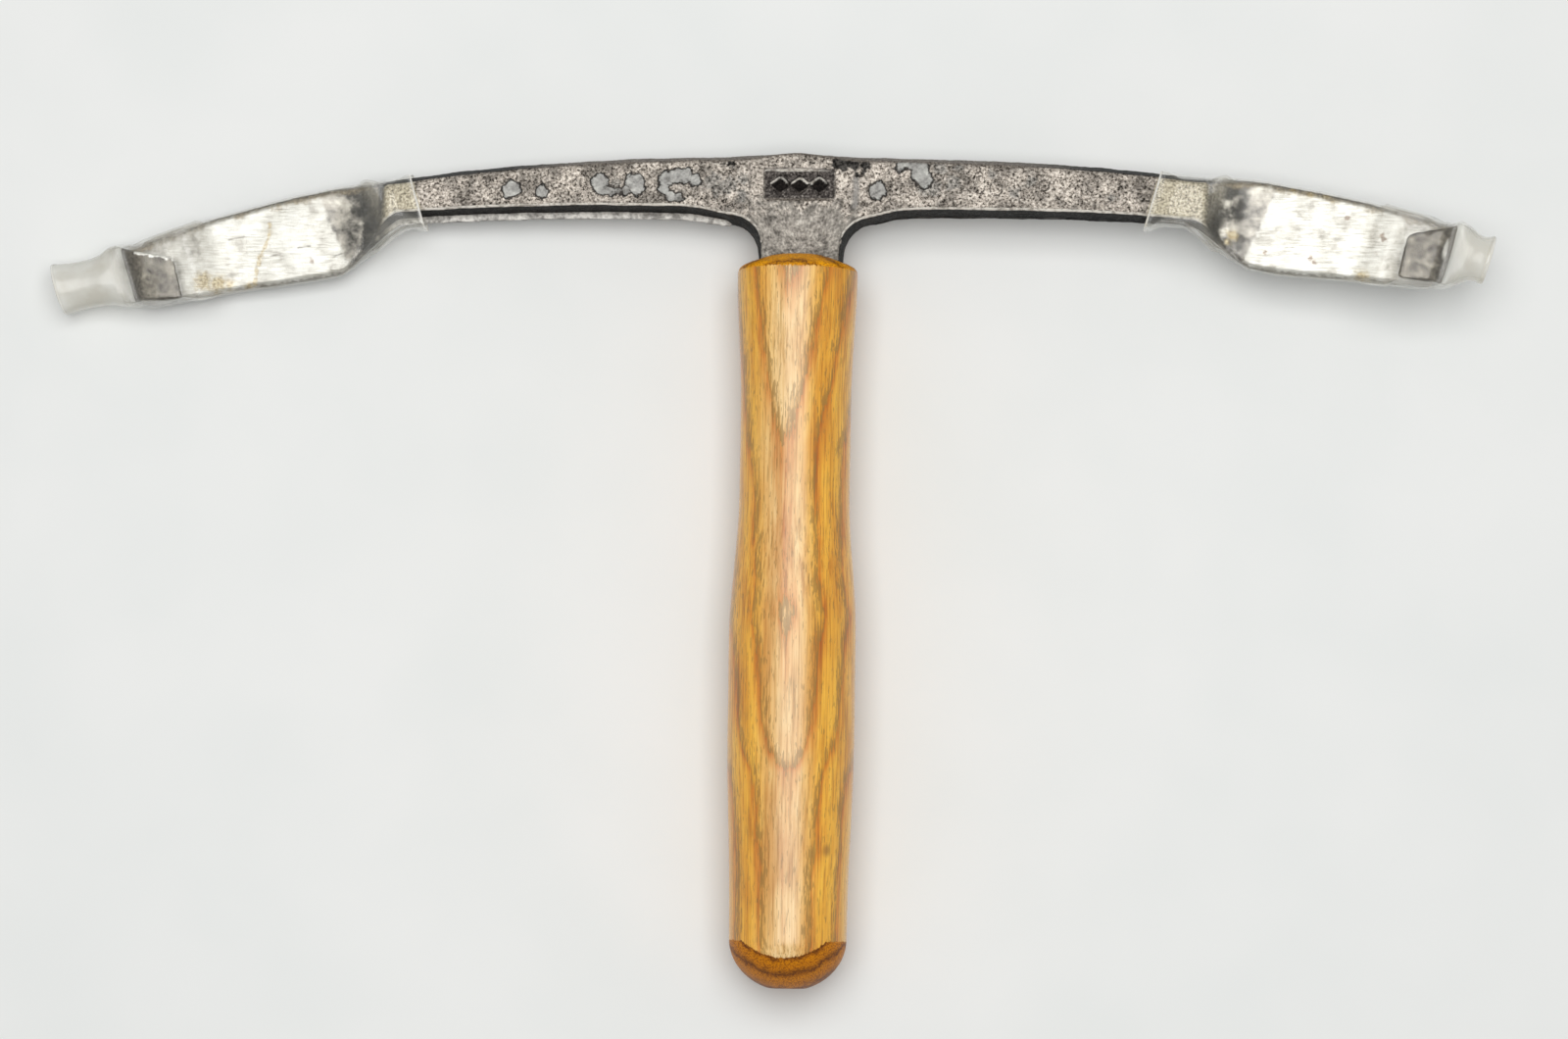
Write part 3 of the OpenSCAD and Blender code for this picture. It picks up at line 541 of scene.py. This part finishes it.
# The handle: turned ash under lacquer
print("handle: turned ash")
handleSettings = {
    "voxel": 0.8, "ringSpacing": 7.2, "endSpacing": 5.0, "pointed": 4.0, "knot": (12.0, -178.0), "knotStretch": 1.6,
    "buttFrom": -205.4,
    "domeFrom": -0.9,
    # How far the edge of the butt hangs in the middle and how wide, and how strongly the end rings curve, in mm
    "edgeSag": 5, "edgeHalf": 13, "endCurve": 0.028, "endShift": 0.6, "handWorkSize": 24.0, "handWorkDepth": 0.3,
    # Rise of the growth rings along the front, and where the middle of their arches lies, by height in mm
    "rise": [(-222, -10.2), (-185, -9.6), (-165, -8.6), (-155, -7.2), (-148, -4.6), (-140, -2.6), (-116, -0.9),
        (-107, 0.5), (-97, -0.9), (-66, -0.9), (-56, 0.0), (-30, 3.9), (0, 8.2), (6, 9.0)],
    "middle": [(-220, -0.5), (-155, -0.4), (-107, -1.0), (-56, -3.0), (0, -1.0)],
}
handle = copyNode("handle", "turnedHandle")
applyModifier(handle, "REMESH", mode="VOXEL", voxel_size=handleSettings["voxel"] / 1000, use_smooth_shade=True)
applyModifier(handle, "SMOOTH", factor=0.5, iterations=2)
points = toolPoints(handle)
x, y, z = points.T
across = x - np.interp(y, *zip(*handleSettings["middle"]))
pointed = handleSettings["pointed"]
growth = np.interp(y, *zip(*handleSettings["rise"])) - np.hypot(across, pointed) + pointed
edgeDrop = np.maximum(0, 1 - (across / handleSettings["edgeHalf"]) ** 2)
edgeLine = handleSettings["buttFrom"] - handleSettings["edgeSag"] * edgeDrop
makeAttribute(handle, "growth", growth)
endCurve, endShift, endMiddle = handleSettings["endCurve"], handleSettings["endShift"], -100
makeAttribute(handle, "endRings", np.abs(y - endMiddle) + endCurve * across ** 2 - endShift)
knotX, knotY = handleSettings["knot"]
makeAttribute(handle, "knot", np.hypot(x - knotX, (y - knotY) / handleSettings["knotStretch"]))
makeAttribute(handle, "across", np.abs(across))
makeAttribute(handle, "height", y)
makeAttribute(handle, "endNear", np.minimum(y - edgeLine, handleSettings["domeFrom"] - y))
applyModifier(handle, "DISPLACE", texture=makeGrain("handWork", handleSettings["handWorkSize"], 1),
    texture_coords="LOCAL", strength=handleSettings["handWorkDepth"] / 1000, mid_level=0.9)
placePoints(handle, toolPoints(handle))
bpy.ops.object.shade_smooth()
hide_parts("handle")
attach(handle, "tool")

# Ash, turned and lacquered: arched growth rings with dark pore dashes and orange ring lines,
# a paler flat-cut front that also carries a painted highlight down the middle, and a soft gloss
ash, tree, toolMm = startMaterial("ashTurnedLacquered")
# Noise drawn out along the grain: scale across, scale along, detail, how far it moves the rings
woodGrains = {
    "slow": (0.05, 0.018, 1.0, 0.5), "feather": (0.5, 0.05, 2.0, 0.5), "frayed": (1.5, 0.05, 2.0, 0.55),
    "pores": (1.9, 0.22, 2.0, 0.0), "dashes": (2.6, 0.1, 2.0, 0.0),
    "fibre": (1.5, 0.025, 3.0, 0.0), "haze": (0.12, 0.03, 2.0, 0.0),
}
grain = {}
layer = addNode(tree, "Attribute", {"attribute_name": "growth"}, output="Fac")
for name, (acrossScale, alongScale, detail, push) in woodGrains.items():
    drawn = addNode(tree, "Mapping", None, {"Vector": toolMm, "Scale": (acrossScale, alongScale, acrossScale)})
    grain[name] = addNode(tree, "TexNoise", None, {"Vector": drawn, "Scale": 1.0, "Detail": detail, "Roughness": 0.6})
    if push:
        moved = addNode(tree, "MapRange", None, {
            "Value": grain[name], "From Min": 0.3, "From Max": 0.7, "To Min": -push, "To Max": push})
        layer = addNode(tree, "Math", {"operation": "ADD"}, {0: layer, 1: moved})
knotNear = addNode(tree, "Attribute", {"attribute_name": "knot"}, output="Fac")
knotPush = addNode(tree, "MapRange", {"interpolation_type": "SMOOTHSTEP"}, {
    "Value": knotNear, "From Min": 0.0, "From Max": 7.0, "To Min": 1.6, "To Max": 0.0})
layer = addNode(tree, "Math", {"operation": "ADD"}, {0: layer, 1: knotPush})
ringPlace = addNode(tree, "Math", {"operation": "DIVIDE"}, {0: layer, 1: -handleSettings["ringSpacing"]})
ring = addNode(tree, "Math", {"operation": "FRACT"}, {0: ringPlace})
sideWood = addNode(tree, "ValToRGB", {"stops": [
    (0.0, "#CE811E"), (0.05, "#DE9127"), (0.14, "#EFAD38"), (0.35, "#F8C044"), (0.52, "#EFB23A"), (0.72, "#F6BD42"),
    (0.9, "#E4A835"), (1.0, "#CE9127")]}, {"Fac": ring})
# The front is painted paler: partly the flat-cut figure, partly a painted highlight of the lamp down the middle
paleFrontAndHighlight = addNode(tree, "ValToRGB", {"stops": [
    (0.0, "#D7934A"), (0.05, "#E0A460"), (0.16, "#EEC182"), (0.35, "#F6D69E"), (0.52, "#F0CA8F"), (0.75, "#F4D196"),
    (0.9, "#E4B977"), (1.0, "#CF9E56")]}, {"Fac": ring})
aside = addNode(tree, "Attribute", {"attribute_name": "across"}, output="Fac")
aside = addNode(tree, "MapRange", {"interpolation_type": "SMOOTHSTEP"}, {
    "Value": aside, "From Min": 2.0, "From Max": 11.0, "To Min": 0.0, "To Max": 1.0})
wood = addNode(tree, "Mix", {"data_type": "RGBA"}, {0: aside, 6: paleFrontAndHighlight, 7: sideWood}, output=2)
fibreColour = addNode(tree, "ValToRGB", {"stops": [(0.34, "#C9B48C"), (0.46, "#EFE6D4"), (0.6, "#FFFFFF")]}, {
    "Fac": grain["fibre"]})
wood = addNode(tree, "Mix", {"data_type": "RGBA", "blend_type": "MULTIPLY"}, {
    0: 0.9, 6: wood, 7: fibreColour}, output=2)
blotch = addNode(tree, "ValToRGB", {"stops": [(0.34, "#D9B888"), (0.48, "#F6EBD8"), (0.6, "#FFFFFF")]}, {
    "Fac": grain["haze"]})
wood = addNode(tree, "Mix", {"data_type": "RGBA", "blend_type": "MULTIPLY"}, {0: 0.7, 6: wood, 7: blotch}, output=2)
# Pores lie just inside each ring line, drawn 0.5 mm wide, coarser than the real 0.3 mm, so that they show
poreBand = addNode(tree, "MapRange", {"interpolation_type": "SMOOTHSTEP"}, {
    "Value": ring, "From Min": 0.6, "From Max": 0.95, "To Min": 0.38, "To Max": 0.56})
poreDepth = addNode(tree, "Math", {"operation": "SUBTRACT"}, {0: poreBand, 1: grain["pores"]})
poreMask = addNode(tree, "MapRange", {"interpolation_type": "SMOOTHSTEP"}, {
    "Value": poreDepth, "From Min": -0.01, "From Max": 0.05, "To Min": 0.0, "To Max": 0.62})
dashes = addNode(tree, "MapRange", {"interpolation_type": "SMOOTHSTEP"}, {
    "Value": grain["dashes"], "From Min": 0.36, "From Max": 0.42, "To Min": 0.42, "To Max": 0.0})
poreMask = addNode(tree, "Math", {"operation": "MAXIMUM"}, {0: poreMask, 1: dashes})
wood = addNode(tree, "Mix", {"data_type": "RGBA"}, {0: poreMask, 6: wood, 7: "#86662A"}, output=2)
knotDark = addNode(tree, "MapRange", {"interpolation_type": "SMOOTHSTEP"}, {
    "Value": knotNear, "From Min": 0.3, "From Max": 1.8, "To Min": 0.7, "To Max": 0.0})
wood = addNode(tree, "Mix", {"data_type": "RGBA"}, {0: knotDark, 6: wood, 7: "#8A5C22"}, output=2)
# The ends show bare end grain: deep amber with curved dark ring lines, soaked and nearly matt
endRings = addNode(tree, "Attribute", {"attribute_name": "endRings"}, output="Fac")
soaked = addNode(tree, "TexNoise", None, {"Vector": toolMm, "Scale": 0.3, "Detail": 4.0, "Roughness": 0.7})
speck = addNode(tree, "TexNoise", None, {"Vector": toolMm, "Scale": 2.2, "Detail": 2.0})
endPush = addNode(tree, "MapRange", None, {
    "Value": soaked, "From Min": 0.3, "From Max": 0.7, "To Min": -1.0, "To Max": 1.0})
endLayer = addNode(tree, "Math", {"operation": "ADD"}, {0: endRings, 1: endPush})
endLayer = addNode(tree, "Math", {"operation": "DIVIDE"}, {0: endLayer, 1: handleSettings["endSpacing"]})
endRing = addNode(tree, "Math", {"operation": "FRACT"}, {0: endLayer})
endColour = addNode(tree, "ValToRGB", {"stops": [
    (0.0, "#8C5706"), (0.1, "#CA8509"), (0.3, "#F5AA0A"), (0.7, "#ECA10C"), (0.9, "#B77A0C"),
    (1.0, "#855206")]}, {"Fac": endRing})
speckColour = addNode(tree, "ValToRGB", {"stops": [(0.38, "#9A8460"), (0.5, "#F2EBDD"), (0.6, "#FFFFFF")]}, {
    "Fac": speck})
endColour = addNode(tree, "Mix", {"data_type": "RGBA", "blend_type": "MULTIPLY"}, {
    0: 0.8, 6: endColour, 7: speckColour}, output=2)
height = addNode(tree, "Attribute", {"attribute_name": "height"}, output="Fac")
buttShare = addNode(tree, "MapRange", None, {
    "Value": height, "From Min": -120.0, "From Max": -100.0, "To Min": 1.0, "To Max": 0.0})
endColour = addNode(tree, "Mix", {"data_type": "RGBA", "blend_type": "MULTIPLY"}, {
    0: buttShare, 6: endColour, 7: "#D4C2FF"}, output=2)
endNear = addNode(tree, "Attribute", {"attribute_name": "endNear"}, output="Fac")
frayed = addNode(tree, "Math", {"operation": "MULTIPLY_ADD"}, {0: grain["frayed"], 1: 1.6, 2: endNear})
endShare = addNode(tree, "MapRange", {"interpolation_type": "SMOOTHSTEP"}, {
    "Value": frayed, "From Min": 0.6, "From Max": 1.0, "To Min": 1.0, "To Max": 0.0})
wood = addNode(tree, "Mix", {"data_type": "RGBA"}, {0: endShare, 6: wood, 7: endColour}, output=2)
woodBump = addNode(tree, "Bump", {"invert": True}, {"Strength": 0.3, "Distance": 0.0002, "Height": poreMask})
woodRough = addNode(tree, "MapRange", None, {
    "Value": grain["fibre"], "From Min": 0.3, "From Max": 0.7, "To Min": 0.52, "To Max": 0.42})
coat = addNode(tree, "MapRange", None, {"Value": endShare, "To Min": 0.85, "To Max": 0.05})
ashShader = addNode(tree, "BsdfPrincipled", None, {
    "Base Color": wood, "Roughness": woodRough, "Normal": woodBump, "Specular IOR Level": 0.15, "Coat Weight": coat,
    "Coat Roughness": 0.25})
addNode(tree, "OutputMaterial", None, {"Surface": ashShader}, output=None)
handle.data.materials.append(ash)


# The bed of the tang, out of sight in the bored handle
print("tang bed: cast resin")
resin, tree, toolMm = startMaterial("epoxyCastAmber")
# Cast epoxy: amber, slightly cloudy, with small bubbles
cloudiness = addNode(tree, "TexNoise", None, {"Vector": toolMm, "Scale": 0.2, "Detail": 3.0})
resinColour = addNode(tree, "ValToRGB", {"stops": [(0.35, "#A5833F"), (0.65, "#C9AB66")]}, {"Fac": cloudiness})
bubbles = addNode(tree, "TexVoronoi", None, {"Vector": toolMm, "Scale": 0.7})
resinBump = addNode(tree, "Bump", None, {"Strength": 0.2, "Distance": 0.0003, "Height": bubbles})
resinShader = addNode(tree, "BsdfPrincipled", None, {
    "Base Color": resinColour, "Roughness": 0.35, "Normal": resinBump})
addNode(tree, "OutputMaterial", None, {"Surface": resinShader}, output=None)
bed = frame["nodes"]["tang_bed"]
bed.data.materials.clear()
bed.data.materials.append(resin)


# The sleeves: clear soft tube pulled over the blades, clinging to the steel and standing free past the hooks
print("sleeves: clear tube")
sleeveSettings = {
    "left_sleeve": {"name": "leftTube", "side": -1, "tilt": 0.3, "tip": 209.5, "tint": "#DEDBD0", "milk": 0.36},
    "right_sleeve": {"name": "rightTube", "side": 1, "tilt": 0.29, "tip": 199.0, "tint": "#DAD5C6", "milk": 0.16},
}
# How the tube clings, in mm: its walls off the steel, where it lets go, what is smoothed past the fold
cling = {
    "inside": 0.2, "outside": 0.55, "near": 2.4, "far": 5.5, "pastTip": (-1, 1.5), "mouth": (7, 1),
    "freeFrom": (-1, 5), "smoothFrom": (0.0, 2.0), "rimKept": (1.0, 3.0), "smoothTurns": 200, "smoothFactor": 0.6,
}
headFaces = [tuple(p.vertices) for p in head.data.polygons]
headTree = BVHTree.FromPolygons([Vector(p) for p in toolPoints(head)], headFaces)
for nodeName, settings in sleeveSettings.items():
    sleeve = copyNode(nodeName, settings["name"])
    bpy.ops.object.mode_set(mode="EDIT")
    bpy.ops.mesh.select_all(action="SELECT")
    bpy.ops.mesh.tris_convert_to_quads(face_threshold=math.radians(60), shape_threshold=math.radians(60))
    bpy.ops.object.mode_set(mode="OBJECT")
    applyModifier(sleeve, "SUBSURF", levels=2, render_levels=2)
    points, normals = toolPoints(sleeve), toolNormals(sleeve)
    x, y, z = points.T
    station = settings["side"] * x - settings["tilt"] * y
    pastTip, beforeEnd, pastMouth = station - settings["tip"], station.max() - station, station - station.min()
    rimGap = np.minimum(pastMouth, beforeEnd)
    free = ease(*cling["freeFrom"], pastTip)
    steelPoint, steelGap = np.empty_like(points), np.empty(len(points))
    for i, point in enumerate(points):
        found = headTree.find_nearest(Vector(point))
        steelPoint[i], steelGap[i] = found[0], found[3]
    inner = ((steelPoint - points) * normals).sum(axis=1) > 0
    wanted = np.where(inner, cling["inside"], cling["outside"])
    looseParts = [(cling["near"], cling["far"], steelGap), (*cling["pastTip"], pastTip), (*cling["mouth"], pastMouth)]
    loose = np.max([ease(*part) for part in looseParts], axis=0)
    pulled = steelGap * loose + np.minimum(steelGap, wanted) * (1 - loose)
    points = steelPoint + (points - steelPoint) * (pulled / np.maximum(steelGap, 1e-6))[:, None]
    makeAttribute(sleeve, "standOff", steelGap)
    makeAttribute(sleeve, "free", free)
    makeAttribute(sleeve, "rimGap", rimGap)
    makeAttribute(sleeve, "wallSide", 1 - np.abs(normals[:, 2]))
    placePoints(sleeve, points)
    endWeights = ease(*cling["smoothFrom"], pastTip) * ease(*cling["rimKept"], beforeEnd)
    endGroup = makeGroup(sleeve, "endWeights", endWeights)
    applyModifier(sleeve, "SMOOTH", factor=cling["smoothFactor"], iterations=cling["smoothTurns"],
        vertex_group=endGroup)
    placePoints(sleeve, toolPoints(sleeve))
    bpy.ops.object.shade_smooth()
    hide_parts(nodeName)
    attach(sleeve, nodeName)

    # Soft clear vinyl tube, extruded: nearly unseen where it clings, milky where it stands off, bright cut ends
    vinyl, tree, toolMm = startMaterial("vinylTubeExtruded." + settings["name"])
    haze = addNode(tree, "TexNoise", None, {"Vector": toolMm, "Scale": 0.12, "Detail": 3.0})
    hazeColour = addNode(tree, "ValToRGB", {"stops": [(0.35, settings["tint"]), (0.65, "#EFEEE8")]}, {"Fac": haze})
    veils = {
        "standOff": (1.2, 4.5, 0.02, 0.1), "free": (0.0, 1.0, 0.0, settings["milk"]),
        "rimGap": (0.3, 0.9, 0.55, 0.0), "wallSide": (0.5, 1.0, 0.0, 0.22),
    }
    cover = 0.0
    for field, (low, high, atLow, atHigh) in veils.items():
        near = addNode(tree, "Attribute", {"attribute_name": field}, output="Fac")
        veil = addNode(tree, "MapRange", {"interpolation_type": "SMOOTHSTEP"}, {
            "Value": near, "From Min": low, "From Max": high, "To Min": atLow, "To Max": atHigh})
        cover = addNode(tree, "Math", {"operation": "ADD", "use_clamp": True}, {0: cover, 1: veil})
    foldMm = addNode(tree, "Mapping", None, {"Vector": toolMm, "Scale": (0.05, 0.22, 0.22)})
    folds = addNode(tree, "TexNoise", None, {"Vector": foldMm, "Scale": 1.0, "Detail": 2.0})
    foldBump = addNode(tree, "Bump", None, {"Strength": 0.4, "Distance": 0.001, "Height": folds})
    film = addNode(tree, "BsdfPrincipled", None, {"Base Color": hazeColour, "Roughness": 0.4, "Normal": foldBump})
    clear = addNode(tree, "BsdfTransparent", None, {"Color": "#FDFDFC"})
    body = addNode(tree, "MixShader", None, {0: cover, 1: clear, 2: film})
    gloss = addNode(tree, "BsdfGlossy", None, {"Color": "#FFFFFF", "Roughness": 0.15, "Normal": foldBump})
    fromInside = addNode(tree, "NewGeometry", output="Backfacing")
    edgeGloss = addNode(tree, "Fresnel", None, {"IOR": 1.35, "Normal": foldBump})
    outerGloss = addNode(tree, "Mix", {"data_type": "FLOAT"}, {0: fromInside, 2: edgeGloss, 3: 0.0})
    whole = addNode(tree, "MixShader", None, {0: outerGloss, 1: body, 2: gloss})
    addNode(tree, "OutputMaterial", None, {"Surface": whole}, output=None)
    sleeve.data.materials.append(vinyl)

low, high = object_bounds()
print("pieces done")
